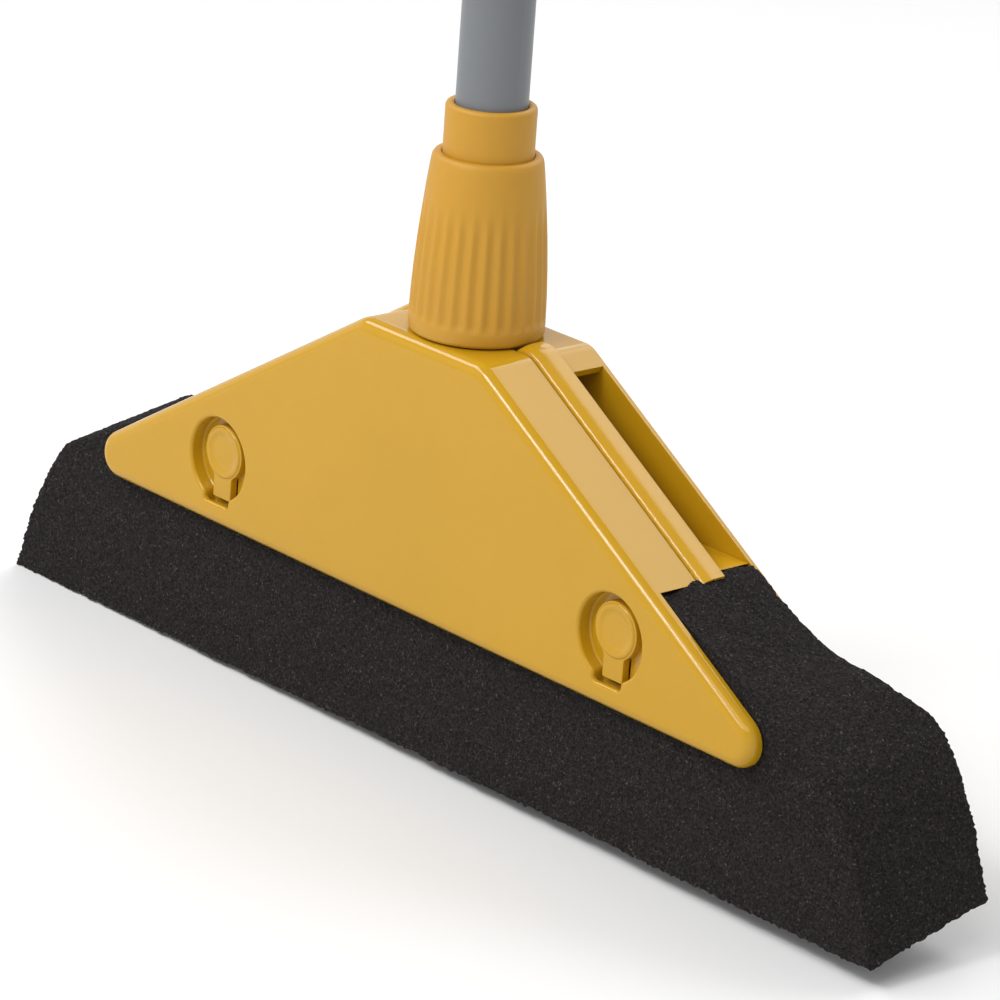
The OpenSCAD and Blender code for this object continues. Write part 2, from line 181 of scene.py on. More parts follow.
def rounded(corners, radii, steps=10):
    """A closed outline whose corners are arcs of these radii; a corner of radius 0 stays a point"""
    line = []
    for i, corner in enumerate(corners):
        before = (corners[i - 1] - corner).normalized()
        after = (corners[(i + 1) % len(corners)] - corner).normalized()
        if radii[i] == 0:
            line.append(corner)
            continue
        half = before.angle(after) / 2
        middle = corner + (before + after).normalized() * radii[i] / math.sin(half)
        first = corner + before * radii[i] / math.tan(half) - middle
        last = corner + after * radii[i] / math.tan(half) - middle
        turn = math.copysign(math.pi - 2 * half, first.cross(last))
        line += arc(middle, radii[i], math.atan2(first.y, first.x), turn, steps)
    return line


def head_line(inset, mark):
    """The head's outline, inset from its outer edge, with a point on each shoulder at mark(inset)"""
    top, low = roof_z - inset, plate_low + inset
    top_half = roof_half + ((roof_z - top) * math.cos(slope) - inset) / math.sin(slope)
    low_half = roof_half + ((roof_z - low) * math.cos(slope) - inset) / math.sin(slope)
    x, z = mark(inset)
    corners = [(-low_half, low), (low_half, low), (x, z), (top_half, top), (-top_half, top), (-x, z)]
    tip, corner = tip_r - inset, roof_corner_r - inset
    return rounded([Vector(c) for c in corners], [tip, tip, 0, corner, corner, 0])


def level_mark(z):
    """Where the shoulder passes height z, on the outer line and on every line inside it"""
    return lambda inset: (roof_half + ((roof_z - z) * math.cos(slope) - inset) / math.sin(slope), z)


def ring(bm, line, y):
    """A closed line of edges at depth y"""
    verts = [bm.verts.new((p.x, y, p.y)) for p in line]
    return [bm.edges.new((verts[i - 1], verts[i])) for i in range(len(verts))]


def lofted(bm, rings):
    """Faces from each ring of edges to the next"""
    for first, second in zip(rings, rings[1:]):
        bmesh.ops.bridge_loops(bm, edges=first + second)


def plate(bm, edges):
    """A flat face between an outer ring and the rings inside it"""
    bmesh.ops.triangle_fill(bm, edges=edges, use_beauty=True, use_dissolve=True, normal=(0, -1, 0))


def quarter(radius, steps=6):
    """A rounded edge as (inset, depth) pairs, from the flat face to the wall"""
    angles = [math.pi / 2 * i / steps for i in range(steps + 1)]
    return [(radius * (1 - math.sin(a)), radius * (1 - math.cos(a))) for a in angles]


def finished(name, bm, finish, body, slot_name, *nodes, sharp=40, edge=0):
    """Turns a bmesh into a piece: normals outwards, crisp edges, and its finish and body; slot_name is not
    used
    """
    bmesh.ops.remove_doubles(bm, verts=bm.verts, dist=0.001 * mm)
    bmesh.ops.recalc_face_normals(bm, faces=bm.faces)
    data = bpy.data.meshes.new(name)
    bm.to_mesh(data)
    bm.free()
    data.shade_smooth()
    data.set_sharp_from_angle(angle=math.radians(sharp))
    data.materials.append(finish)
    piece = bpy.data.objects.new(name, data)
    bpy.context.scene.collection.objects.link(piece)
    if edge:
        soft = piece.modifiers.new("broken_edges", "BEVEL")
        soft.width = edge
        soft.segments = 2
        soft.limit_method = "ANGLE"
        soft.angle_limit = math.radians(sharp)
    level = piece.modifiers.new("flat_faces_stay_flat", "WEIGHTED_NORMAL")
    level.keep_sharp = True
    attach(piece, body)
    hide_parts(*nodes)
    return piece


def group(name, inputs, outputs):
    """An empty shader node group with these sockets, and its input and output nodes"""
    tree = bpy.data.node_groups.new(name, "ShaderNodeTree")
    for socket, value in inputs.items():
        made = tree.interface.new_socket(socket, in_out="INPUT", socket_type="NodeSocketFloat")
        made.default_value = value
    for socket in outputs:
        tree.interface.new_socket(socket, in_out="OUTPUT", socket_type="NodeSocketFloat")
    return tree, tree.nodes.new("NodeGroupInput"), tree.nodes.new("NodeGroupOutput")


def node(tree, kind, **values):
    """A node with some of its input values set"""
    made = tree.nodes.new(kind)
    for socket, value in values.items():
        made.inputs[socket.replace("_", " ")].default_value = value
    return made


# Soft, wide unevenness of moulded plastic, from -1 to 1, with a finer ripple on top.
unevenness, given, result = group("unevenness", {"Scale": 20.0, "Ripple": 0.3}, ["Value"])
where = unevenness.nodes.new("ShaderNodeTexCoord")
wide = node(unevenness, "ShaderNodeTexNoise", Detail=2.0, Roughness=0.5)
fine = node(unevenness, "ShaderNodeTexNoise", Detail=3.0, Roughness=0.6)
finer = node(unevenness, "ShaderNodeMath")
finer.operation = "MULTIPLY"
finer.inputs[1].default_value = 9.0
mixed = node(unevenness, "ShaderNodeMath")
mixed.operation = "MULTIPLY_ADD"
centred = node(unevenness, "ShaderNodeMapRange", From_Min=0.35, From_Max=0.85, To_Min=-1.0, To_Max=1.0)
unevenness.links.new(where.outputs["Object"], wide.inputs["Vector"])
unevenness.links.new(where.outputs["Object"], fine.inputs["Vector"])
unevenness.links.new(given.outputs["Scale"], wide.inputs["Scale"])
unevenness.links.new(given.outputs["Scale"], finer.inputs[0])
unevenness.links.new(finer.outputs[0], fine.inputs["Scale"])
unevenness.links.new(fine.outputs["Fac"], mixed.inputs[0])
unevenness.links.new(given.outputs["Ripple"], mixed.inputs[1])
unevenness.links.new(wide.outputs["Fac"], mixed.inputs[2])
unevenness.links.new(mixed.outputs[0], centred.inputs["Value"])
unevenness.links.new(centred.outputs[0], result.inputs["Value"])

# The fine spark-eroded or blown grain of a surface, as a height from 0 to 1.
surface_grain, given, result = group("surface_grain", {"Scale": 900.0, "Roughness": 0.6}, ["Height"])
where = surface_grain.nodes.new("ShaderNodeTexCoord")
grains = node(surface_grain, "ShaderNodeTexNoise", Detail=4.0)
surface_grain.links.new(where.outputs["Object"], grains.inputs["Vector"])
surface_grain.links.new(given.outputs["Scale"], grains.inputs["Scale"])
surface_grain.links.new(given.outputs["Roughness"], grains.inputs["Roughness"])
surface_grain.links.new(grains.outputs["Fac"], result.inputs["Height"])


def moulded(name, colour, uneven, roughness, rough_change, grain_scale, grain_height, grain_strength,
            specular=0.5):
    """A moulded or coated surface: colour and roughness drift a little, a fine grain breaks the gloss"""
    finish = bpy.data.materials.new(name)
    finish.use_nodes = True
    tree = finish.node_tree
    surface = tree.nodes["Principled BSDF"]
    surface.inputs["Specular IOR Level"].default_value = specular
    drift = tree.nodes.new("ShaderNodeGroup")
    drift.node_tree = unevenness
    drift.inputs["Scale"].default_value = uneven[0]
    drift.inputs["Ripple"].default_value = 0.4
    darker = [c * (1 - uneven[1]) for c in colour]
    lighter = [min(1, c * (1 + uneven[1])) for c in colour]
    tint = node(tree, "ShaderNodeMix")
    tint.data_type = "RGBA"
    tint.inputs["A"].default_value = (*darker, 1)
    tint.inputs["B"].default_value = (*lighter, 1)
    spread = node(tree, "ShaderNodeMapRange", From_Min=-1.0, From_Max=1.0)
    tree.links.new(drift.outputs["Value"], spread.inputs["Value"])
    tree.links.new(spread.outputs[0], tint.inputs["Factor"])
    tree.links.new(tint.outputs["Result"], surface.inputs["Base Color"])
    gloss = node(tree, "ShaderNodeMapRange", From_Min=-1.0, From_Max=1.0,
                 To_Min=roughness - rough_change, To_Max=roughness + rough_change)
    tree.links.new(drift.outputs["Value"], gloss.inputs["Value"])
    tree.links.new(gloss.outputs[0], surface.inputs["Roughness"])
    texture = tree.nodes.new("ShaderNodeGroup")
    texture.node_tree = surface_grain
    texture.inputs["Scale"].default_value = grain_scale
    bump = node(tree, "ShaderNodeBump", Strength=grain_strength, Distance=grain_height)
    tree.links.new(texture.outputs["Height"], bump.inputs["Height"])
    tree.links.new(bump.outputs["Normal"], surface.inputs["Normal"])
    return finish


gloss_yellow = moulded("gloss_yellow", (0.475, 0.259, 0.008), (14.0, 0.03), 0.065, 0.02,
                       500.0, 0.006 * mm, 0.15, specular=0.38)

# The cups' own sizes: a round pocket with a notch below it, and the way through its floor
catch_x = 104 * mm
catch_z = 72.6 * mm
cup_r = 15.25 * mm
cup_edge = 1.3 * mm
notch_half = 6.75 * mm
notch_low = catch_z - 17.1 * mm
notch_drop = 1.7 * mm
lip_y = front_y + 2.2 * mm
cup_floor_y = front_y + 5.6 * mm
cup_back_y = cup_floor_y + 1.6 * mm
thumb_z = catch_z + 2 * mm
thumb_r = 10.25 * mm
neck_half = 5 * mm
neck_low = catch_z - 15.6 * mm


def keyhole(x, z, radius, half, low, corner, hollow):
    """A circle round (x, z) with a straight notch below it; hollow is the fillet where the two meet"""
    down = math.sqrt((radius + hollow) ** 2 - (half + hollow) ** 2)
    turn = math.atan2(down, half + hollow)
    line = arc((x, z), radius, -turn, math.pi + 2 * turn, 44)
    line += arc((x - half - hollow, z - down), hollow, turn, -turn, 5)[1:]
    line += arc((x - half + corner, low + corner), corner, math.pi, math.pi / 2, 4)
    line += arc((x + half - corner, low + corner), corner, 3 * math.pi / 2, math.pi / 2, 4)
    line += arc((x + half + hollow, z - down), hollow, math.pi, -turn, 5)[:-1]
    return line


def cup_line(x, grow, drop=0):
    """The cup's outline; below its lip the notch runs down further by drop"""
    return keyhole(x, catch_z, cup_r + grow, notch_half + grow, notch_low - grow - drop, 1.6 * mm + grow,
                   max(1.8 * mm - grow, 0.4 * mm))


def catch_way(x):
    """The opening in the cup's floor: it shows beside the neck and as a slot below it"""
    return keyhole(x, thumb_z, thumb_r - 0.6 * mm, notch_half - 1.3 * mm, notch_low - notch_drop + 1.3 * mm,
                   0.5 * mm, 1 * mm)


bm = bmesh.new()
mark = level_mark(shelf_z)
inner_y = front_y + wall
rim_y = front_y + rim_depth
section = [(inset, front_y + depth) for inset, depth in quarter(rolled_edge, 8)]
section += [(0, rim_y), (wall, rim_y - 0.1 * mm), (wall, inner_y + 1.4 * mm),
            (wall + 0.4 * mm, inner_y + 0.4 * mm), (wall + 1.4 * mm, inner_y)]
rings = [ring(bm, head_line(inset, mark), y) for inset, y in section]
lofted(bm, rings)
face_edges, back_edges = list(rings[0]), list(rings[-1])
for x in (-catch_x, catch_x):
    cup = [ring(bm, cup_line(x, inset), front_y + depth) for inset, depth in quarter(cup_edge, 5)]
    cup += [ring(bm, cup_line(x, 0, drop), y) for drop, y in ((0, lip_y), (notch_drop, lip_y + 0.5 * mm))]
    cup += [ring(bm, cup_line(x, grow, notch_drop), y) for grow, y in (
        (0, cup_floor_y - 0.9 * mm), (-0.25 * mm, cup_floor_y - 0.25 * mm), (-0.9 * mm, cup_floor_y))]
    lofted(bm, cup)
    way = [ring(bm, catch_way(x), y) for y in (cup_floor_y, cup_back_y)]
    lofted(bm, way)
    cup_back = [ring(bm, cup_line(x, 2.6 * mm), y) for y in (cup_back_y, inner_y)]
    lofted(bm, cup_back)
    plate(bm, cup[-1] + way[0])
    plate(bm, way[-1] + cup_back[0])
    face_edges += cup[0]
    back_edges += cup_back[-1]
plate(bm, face_edges)
plate(bm, back_edges)

# The roof and shoulders run on from the rim to the frame
bm.normal_update()
walls = [f for f in bm.faces if abs(f.calc_center_median().y - rim_y) < 0.08 * mm
         and f.calc_center_median().z > shelf_z and abs(f.normal.y) > 0.9]
drawn = bmesh.ops.extrude_face_region(bm, geom=walls)
bmesh.ops.translate(bm, verts=[g for g in drawn["geom"] if isinstance(g, bmesh.types.BMVert)],
                    vec=(0, shell_end_y - rim_y, 0))
bmesh.ops.delete(bm, geom=walls, context="FACES")

screw_spots = [(side * out, roof_z - down) for side in (-1, 1)
               for out, down in ((48 * mm, 24 * mm), (84 * mm, 43 * mm))]
boss_end_y = 0.4 * mm
for x, z in screw_spots:
    boss = [ring(bm, circle_line(x, z, r, 24), y)
            for r, y in ((4.8 * mm, inner_y - 0.5 * mm), (4.2 * mm, inner_y + 2 * mm),
                         (4.2 * mm, boss_end_y), (1.6 * mm, boss_end_y - 0.2 * mm),
                         (1.6 * mm, inner_y + 3 * mm))]
    lofted(bm, boss)
    bmesh.ops.contextual_create(bm, geom=boss[0])
    bmesh.ops.contextual_create(bm, geom=boss[-1])
finished("front_shell_moulding", bm, gloss_yellow, "head", "head_plastic", "front_shell", edge=0.35 * mm)

# ---------------------------------------------------------------- back shell
# The glossy yellow moulding behind the pad: a plain plate whose strip over the roof meets the
# frame. It is open over the shoulders. Its two round posts reach through the pad, and each
# has a pocket for the stem of a catch.
back_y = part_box("back_shell")[1].y
back_inner_y = back_y - wall
wrap_half = 40 * mm
wrap_y = 7.3 * mm
back_edge = 2.0 * mm
post_r = 10 * mm
post_front_y = cup_back_y + 0.3 * mm
stem_half = 2.6 * mm
stem_low, stem_high = -3.2 * mm, 8.7 * mm
stem_depth = 9.3 * mm


def square_mark(inset):
    """Where the roof strip is cut off, square to the shoulder"""
    return (wrap_half - inset * math.sin(slope),
            roof_z - (wrap_half - roof_half) * math.tan(slope) - inset * math.cos(slope))


bm = bmesh.new()
section = [(wall, back_inner_y), (0, back_inner_y), (0, back_y - back_edge - small_edge)]
section += [(inset, back_y - depth) for inset, depth in reversed(quarter(back_edge, 6))]
rings = [ring(bm, head_line(inset, square_mark), y) for inset, y in section]
lofted(bm, rings)
plate(bm, rings[-1])
inner_edges = list(rings[0])
for x in (-catch_x, catch_x):
    post_section = [(post_r + 1.2 * mm, back_inner_y), (post_r + 0.35 * mm, back_inner_y - 0.35 * mm),
                    (post_r, back_inner_y - 1.2 * mm), (post_r, post_front_y + 0.8 * mm),
                    (post_r - 0.8 * mm, post_front_y)]
    post = [ring(bm, circle_line(x, thumb_z, r), y) for r, y in post_section]
    lofted(bm, post)
    inner_edges += post[0]
    pocket_corners = [Vector((x + i, thumb_z + k)) for i, k in (
        (-stem_half, stem_low), (stem_half, stem_low), (stem_half, stem_high), (-stem_half, stem_high))]
    pocket = [ring(bm, rounded(pocket_corners, [0.5 * mm] * 4, 3), y)
              for y in (post_front_y, post_front_y + stem_depth)]
    lofted(bm, pocket)
    plate(bm, post[-1] + pocket[0])
    bmesh.ops.contextual_create(bm, geom=pocket[-1])
plate(bm, inner_edges)
bm.faces.ensure_lookup_table()
bm.normal_update()
strip = []
for f in bm.faces:
    middle = f.calc_center_median()
    flat = all(abs(v.co.y - back_inner_y) < 0.01 * mm for v in f.verts)
    over_roof = abs(middle.x) < wrap_half - 1 * mm and middle.z > square_mark(wall)[1]
    if flat and over_roof and len(f.verts) == 4:
        strip.append(f)
drawn = bmesh.ops.extrude_face_region(bm, geom=strip)
bmesh.ops.translate(bm, verts=[g for g in drawn["geom"] if isinstance(g, bmesh.types.BMVert)],
                    vec=(0, wrap_y - back_inner_y, 0))
bmesh.ops.delete(bm, geom=strip, context="FACES")
finished("back_shell_moulding", bm, gloss_yellow, "back", "head_plastic", "back_shell", edge=0.35 * mm)

# ---------------------------------------------------------------- centre frame
# The yellow moulding between the shells. Its edge stands proud of roof and shoulders as a
# bead, which is grained, not polished, and has a ragged parting line along its front foot.
# A web, a shelf for the pad to butt against and a boss for the pole socket are behind it.
bead_front_y = -2.7 * mm
bead_back_y = 7 * mm
bead_proud = 2.6 * mm
bead_crest = 6.3 * mm
band_depth = 5 * mm
bead_end_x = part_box("clamp_nut")[1].x + 0.7 * mm
web_front_y, web_back_y = 0.5 * mm, 3.5 * mm
shelf_t = 1.5 * mm
boss_r = 19 * mm

grained_yellow = moulded("grained_yellow", (0.49, 0.265, 0.009), (30.0, 0.05), 0.17, 0.04,
                         700.0, 0.09 * mm, 0.6)


def station(bm, section, x, z, lean, share=1):
    """The bead's section as a closed line, square to its path at (x, z); lean is the path's fall"""
    verts = []
    for height, y in section:
        height = height * share if height > 0 else height
        verts.append(bm.verts.new((x + height * math.sin(lean), y, z + height * math.cos(lean))))
    return [bm.edges.new((verts[i - 1], verts[i])) for i in range(len(verts))]


bm = bmesh.new()
bead_section = [(-band_depth, bead_front_y), (-0.6 * mm, bead_front_y)]
bead_section += [(bead_proud * math.sin(math.pi / 2 * i / 10),
                  bead_front_y + bead_crest * (1 - math.cos(math.pi / 2 * i / 10))) for i in range(11)]
bead_section += [(bead_proud, bead_back_y - 0.5 * mm), (bead_proud - 0.15 * mm, bead_back_y - 0.15 * mm),
                 (bead_proud - 0.5 * mm, bead_back_y), (-band_depth, bead_back_y)]
corner_x = roof_half - roof_corner_r * math.tan(slope / 2)
corner_z = roof_z - roof_corner_r
nose = 3 * mm
path = [(bead_end_x + nose * (1 - math.cos(math.pi / 2 * i / 6)), roof_z, 0, math.sin(math.pi / 2 * i / 6))
        for i in range(1, 7)]
path += [(corner_x + roof_corner_r * math.sin(lean), corner_z + roof_corner_r * math.cos(lean), lean, 1)
         for lean in (slope * i / 10 for i in range(11))]
start_x, start_z = path[-1][:2]
shoulder_run = (start_z - shelf_z) / math.sin(slope) + 1 * mm
run_steps = 150
path += [(start_x + shoulder_run * i / run_steps * math.cos(slope),
          start_z - shoulder_run * i / run_steps * math.sin(slope), slope, 1)
         for i in range(1, run_steps + 1)]
stations = [station(bm, bead_section, *place) for place in path]
lofted(bm, stations)
for end in (stations[0], stations[-1]):
    bmesh.ops.contextual_create(bm, geom=end)
for v in bm.verts:
    if v.co.y < bead_front_y + 0.3 * mm:
        v.co.y += 0.3 * mm * abs(noise.noise(v.co * 1000))
        v.co.z += 0.3 * mm * noise.noise(v.co * 800 + Vector((5, 5, 5)))
bmesh.ops.mirror(bm, geom=bm.verts[:] + bm.edges[:] + bm.faces[:], matrix=Matrix(), merge_dist=0, axis="X")

# The web fills the arch under the bead, and the shelf closes the space above the pad. Behind
# the bead the shelf's ends are cut back below, so that only its upper edge meets the shoulder.
web_low, web_top = level_mark(shelf_z)(2 * mm)[0], level_mark(roof_z - 2 * mm)(2 * mm)[0]
web_corners = [Vector(c) for c in ((-web_low, shelf_z), (web_low, shelf_z), (web_top, roof_z - 2 * mm),
                                   (-web_top, roof_z - 2 * mm))]
web_line = rounded(web_corners, [0, 0, roof_corner_r - 2 * mm, roof_corner_r - 2 * mm])
shelf_top = shelf_z + shelf_t
top_half = level_mark(shelf_top)(0.3 * mm)[0]
solids = [(web_line, web_front_y, web_back_y)]
for half, low_half, y0, y1 in (
        (top_half - 8 * mm, top_half - 8 * mm, rim_y + 0.3 * mm, bead_back_y),
        (top_half, top_half - 1.8 * mm, bead_back_y - 0.5 * mm, back_inner_y - 0.3 * mm)):
    shelf_line = [Vector(c) for c in ((-low_half, shelf_z), (low_half, shelf_z),
                                      (half, shelf_top), (-half, shelf_top))]
    solids.append((shelf_line, y0, y1))
for line, y0, y1 in solids:
    rings = [ring(bm, line, y) for y in (y0, y1)]
    lofted(bm, rings)
    plate(bm, rings[0])
    plate(bm, rings[1])


def spun(bm, profile, steps=64):
    """Turns an outline of (radius, height) points once round the pole's axis"""
    verts = [bm.verts.new((r, 0, z)) for r, z in profile]
    edges = [bm.edges.new(pair) for pair in zip(verts, verts[1:])]
    if profile[0][0] > 0:
        edges.append(bm.edges.new((verts[-1], verts[0])))
    bmesh.ops.spin(bm, geom=verts + edges, cent=(0, 0, 0), axis=(0, 0, 1), angle=2 * math.pi, steps=steps,
                   use_merge=True, use_duplicate=False)
    bmesh.ops.remove_doubles(bm, verts=bm.verts, dist=0.001 * mm)


boss_low = roof_z - 30 * mm
socket_r = 14.8 * mm
spun(bm, [(socket_r, boss_low), (boss_r - 1 * mm, boss_low), (boss_r, boss_low + 1 * mm),
          (boss_r, roof_z - 4 * mm), (boss_r - 1 * mm, roof_z - 3 * mm), (socket_r, roof_z - 3 * mm)], 48)
finished("frame_moulding", bm, grained_yellow, "head", "head_plastic", "centre_frame")

# ---------------------------------------------------------------- screws and springs
# Four cross-head screws hold the frame to the front shell and two hold the socket's foot:
# zinc-plated steel. Above each catch's stem a small coil spring of bright wire sits in the
# post's pocket and presses the catch down.
zinc = moulded("zinc_plate", (0.60, 0.61, 0.62), (200.0, 0.06), 0.28, 0.08, 2500.0, 0.01 * mm, 0.3)
zinc.node_tree.nodes["Principled BSDF"].inputs["Metallic"].default_value = 1
for name in ("frame_screws", "socket_screws"):
    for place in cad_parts[name].material_slots:
        place.material = zinc

spring_wire = moulded("spring_wire", (0.66, 0.66, 0.67), (300.0, 0.04), 0.2, 0.05, 3000.0, 0.01 * mm, 0.2)
spring_wire.node_tree.nodes["Principled BSDF"].inputs["Metallic"].default_value = 1
wire_r = 0.28 * mm
coil_turns = 5
for side in ("left", "right"):
    low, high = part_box("catch_spring_" + side)
    middle = (low + high) / 2
    bm = bmesh.new()
    end = bmesh.ops.create_circle(bm, segments=8, radius=wire_r, cap_ends=True)
    start = Vector((high.x - wire_r, middle.y, low.z + wire_r))
    bmesh.ops.transform(bm, verts=end["verts"],
                        matrix=Matrix.Translation(start) @ Matrix.Rotation(math.pi / 2, 4, "X"))
    steps = coil_turns * 20
    climb = (high.z - low.z - 2 * wire_r) / steps
    bmesh.ops.spin(bm, geom=bm.verts[:] + bm.edges[:] + bm.faces[:], cent=middle, axis=(0, 0, 1),
                   dvec=(0, 0, climb), angle=2 * math.pi * coil_turns, steps=steps)
    finished("catch_spring_coil_" + side, bm, spring_wire, "back", "spring_steel",
             "catch_spring_" + side)

# ---------------------------------------------------------------- catches
# Two glossy yellow sliding catches, one in each cup. Each is a moulding with a round thumb
# pad, whose rim stands up round a shallow dish, a flat neck below it, and a stem behind.
thumb_front_y = front_y + 2.2 * mm
neck_front_y = thumb_front_y + 0.5 * mm
dish_r = 7.6 * mm
stem_x, stem_z = 2.5 * mm, 3 * mm
satin_yellow = moulded("satin_yellow", (0.475, 0.259, 0.008), (40.0, 0.03), 0.16, 0.04,
                       900.0, 0.012 * mm, 0.3, specular=0.4)
for side, x in (("left", -catch_x), ("right", catch_x)):
    bm = bmesh.new()
    outline_section = [(0, cup_floor_y), (0, neck_front_y + 0.6 * mm),
                       (-0.18 * mm, neck_front_y + 0.18 * mm), (-0.6 * mm, neck_front_y)]
    outline = [ring(bm, keyhole(x, thumb_z, thumb_r + grow, neck_half + grow, neck_low - grow,
                                0.9 * mm + grow, 2 * mm - grow), y) for grow, y in outline_section]
    lofted(bm, outline)
    plate(bm, outline[0])
    dish_section = [(thumb_r - 0.75 * mm, neck_front_y), (thumb_r - 1.0 * mm, thumb_front_y + 0.2 * mm),
                    (thumb_r - 1.4 * mm, thumb_front_y), (dish_r + 0.4 * mm, thumb_front_y + 0.03 * mm),
                    (dish_r - 0.3 * mm, thumb_front_y + 0.25 * mm),
                    (dish_r - 1.0 * mm, thumb_front_y + 0.55 * mm),
                    (dish_r - 2.2 * mm, thumb_front_y + 0.7 * mm)]
    dish = [ring(bm, circle_line(x, thumb_z, r, 48), y) for r, y in dish_section]
    lofted(bm, dish)
    plate(bm, outline[-1] + dish[0])
    bmesh.ops.contextual_create(bm, geom=dish[-1])
    stem_corners = [Vector((x + i * stem_x, thumb_z + k * stem_z))
                    for i, k in ((-1, -1), (1, -1), (1, 1), (-1, 1))]
    stem = [ring(bm, rounded(stem_corners, [0.4 * mm] * 4, 3), y)
            for y in (cup_floor_y - 0.5 * mm, post_front_y + stem_depth - 0.4 * mm)]
    lofted(bm, stem)
    for end in (stem[0], stem[1]):
        bmesh.ops.contextual_create(bm, geom=end)
    finished("catch_thumb_pad_" + side, bm, satin_yellow, "catch_" + side[0], "catch_plastic",
             "catch_" + side)

# ---------------------------------------------------------------- foam pad
# A block of charcoal open-cell foam, cut to shape and clamped between the plates. Its top
# lies under the shelf, it is flush with the shoulders, swells where no plate holds it, and
# its working face rises to the back. A stiff strip inside it has the holes for the posts.
foam_low, foam_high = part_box("foam_pad")
foam_half = foam_high.x
bevel_rise = math.tan(math.radians(12.2))
pore_pitch = 1.25 * mm
shoulder_half = 204 * mm
plate_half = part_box("back_shell")[1].x
foam_back_inner = back_inner_y - 0.3 * mm

# Open cells: a net of walls round pits. Their height drives the bump and also paints shade into the pits. A
# few cut strands are picked out as glints, which are painted highlights
open_cells, given, result = group("open_cells", {"Scale": 1000.0}, ["Height", "Glints"])
where = open_cells.nodes.new("ShaderNodeTexCoord")
cells = node(open_cells, "ShaderNodeTexVoronoi", Randomness=1.0)
strands = node(open_cells, "ShaderNodeTexNoise", Detail=3.0, Roughness=0.75)
torn = node(open_cells, "ShaderNodeMath")
torn.operation = "MULTIPLY_ADD"
torn.inputs[1].default_value = 0.8
glint_mask = node(open_cells, "ShaderNodeMapRange", From_Min=0.60, From_Max=0.74)
open_cells.links.new(where.outputs["Object"], cells.inputs["Vector"])
open_cells.links.new(where.outputs["Object"], strands.inputs["Vector"])
for texture in (cells, strands):
    open_cells.links.new(given.outputs["Scale"], texture.inputs["Scale"])
open_cells.links.new(strands.outputs["Fac"], torn.inputs[0])
open_cells.links.new(cells.outputs["Distance"], torn.inputs[2])
open_cells.links.new(strands.outputs["Fac"], glint_mask.inputs["Value"])
open_cells.links.new(torn.outputs[0], result.inputs["Height"])
open_cells.links.new(glint_mask.outputs[0], result.inputs["Glints"])

foam = bpy.data.materials.new("charcoal_foam")
foam.use_nodes = True
tree = foam.node_tree
surface = tree.nodes["Principled BSDF"]
surface.inputs["Roughness"].default_value = 0.95
surface.inputs["Specular IOR Level"].default_value = 0.15
holes = tree.nodes.new("ShaderNodeGroup")
holes.node_tree = open_cells
# Painted shade: following the cells' height, the pits are painted near black and the walls between them a
# lighter charcoal
pit_shade = node(tree, "ShaderNodeMix")
pit_shade.data_type = "RGBA"
pit_shade.inputs["A"].default_value = (0.004, 0.0036, 0.0036, 1)
pit_shade.inputs["B"].default_value = (0.022, 0.0186, 0.018, 1)
depth = node(tree, "ShaderNodeMapRange", From_Min=0.45, From_Max=1.15)
# Painted highlight: a few strands are painted light grey, as glints of light on them
painted_glints = node(tree, "ShaderNodeMix")
painted_glints.data_type = "RGBA"
painted_glints.inputs["B"].default_value = (0.125, 0.115, 0.112, 1)
relief = node(tree, "ShaderNodeBump", Strength=0.9, Distance=0.5 * mm)
tree.links.new(holes.outputs["Height"], depth.inputs["Value"])
tree.links.new(depth.outputs[0], pit_shade.inputs["Factor"])
tree.links.new(pit_shade.outputs["Result"], painted_glints.inputs["A"])
tree.links.new(holes.outputs["Glints"], painted_glints.inputs["Factor"])
tree.links.new(painted_glints.outputs["Result"], surface.inputs["Base Color"])
tree.links.new(holes.outputs["Height"], relief.inputs["Height"])
tree.links.new(relief.outputs["Normal"], surface.inputs["Normal"])


def eased(x, xs, zs, reach=6 * mm):
    """Height of a line through a few points, its corners rounded over this reach"""
    return sum(np.interp(x + reach * k / 3, xs, zs) for k in range(-3, 4)) / 7


def smooth_step(t):
    """Rises from 0 to 1 with soft ends, while t goes from 0 to 1"""
    t = np.clip(t, 0, 1)
    return t * t * (3 - 2 * t)


bm = bmesh.new()
bmesh.ops.create_cube(bm, size=2)
for axis, cuts in ((0, int(2 * foam_half / pore_pitch)), (1, 42), (2, 80)):
    along = [e for e in bm.edges if abs((e.verts[0].co - e.verts[1].co)[axis]) > 1.5]
    bmesh.ops.subdivide_edges(bm, edges=along, cuts=cuts, use_grid_fill=True)
block = np.array([v.co for v in bm.verts])
across, through, up = block[:, 0], (block[:, 1] + 1) / 2, (block[:, 2] + 1) / 2

# Height of the upper outline along the front and along the back
reach = np.array([0, 119, 122, 140, 163, 181, 196, 205]) * mm
front_tops = np.array([92, 92, 91.6, 82, 72, 63.5, 56, 51]) * mm
back_tops = np.array([92, 92, 91.6, 80, 73.5, 70.5, 65, 57]) * mm
run = np.abs(across) * shoulder_half
top = (1 - through) * eased(run, reach, front_tops) + through * eased(run, reach, back_tops)
end_line = foam_half - 19 * mm * up - 8 * mm * up ** 5
x = across * end_line

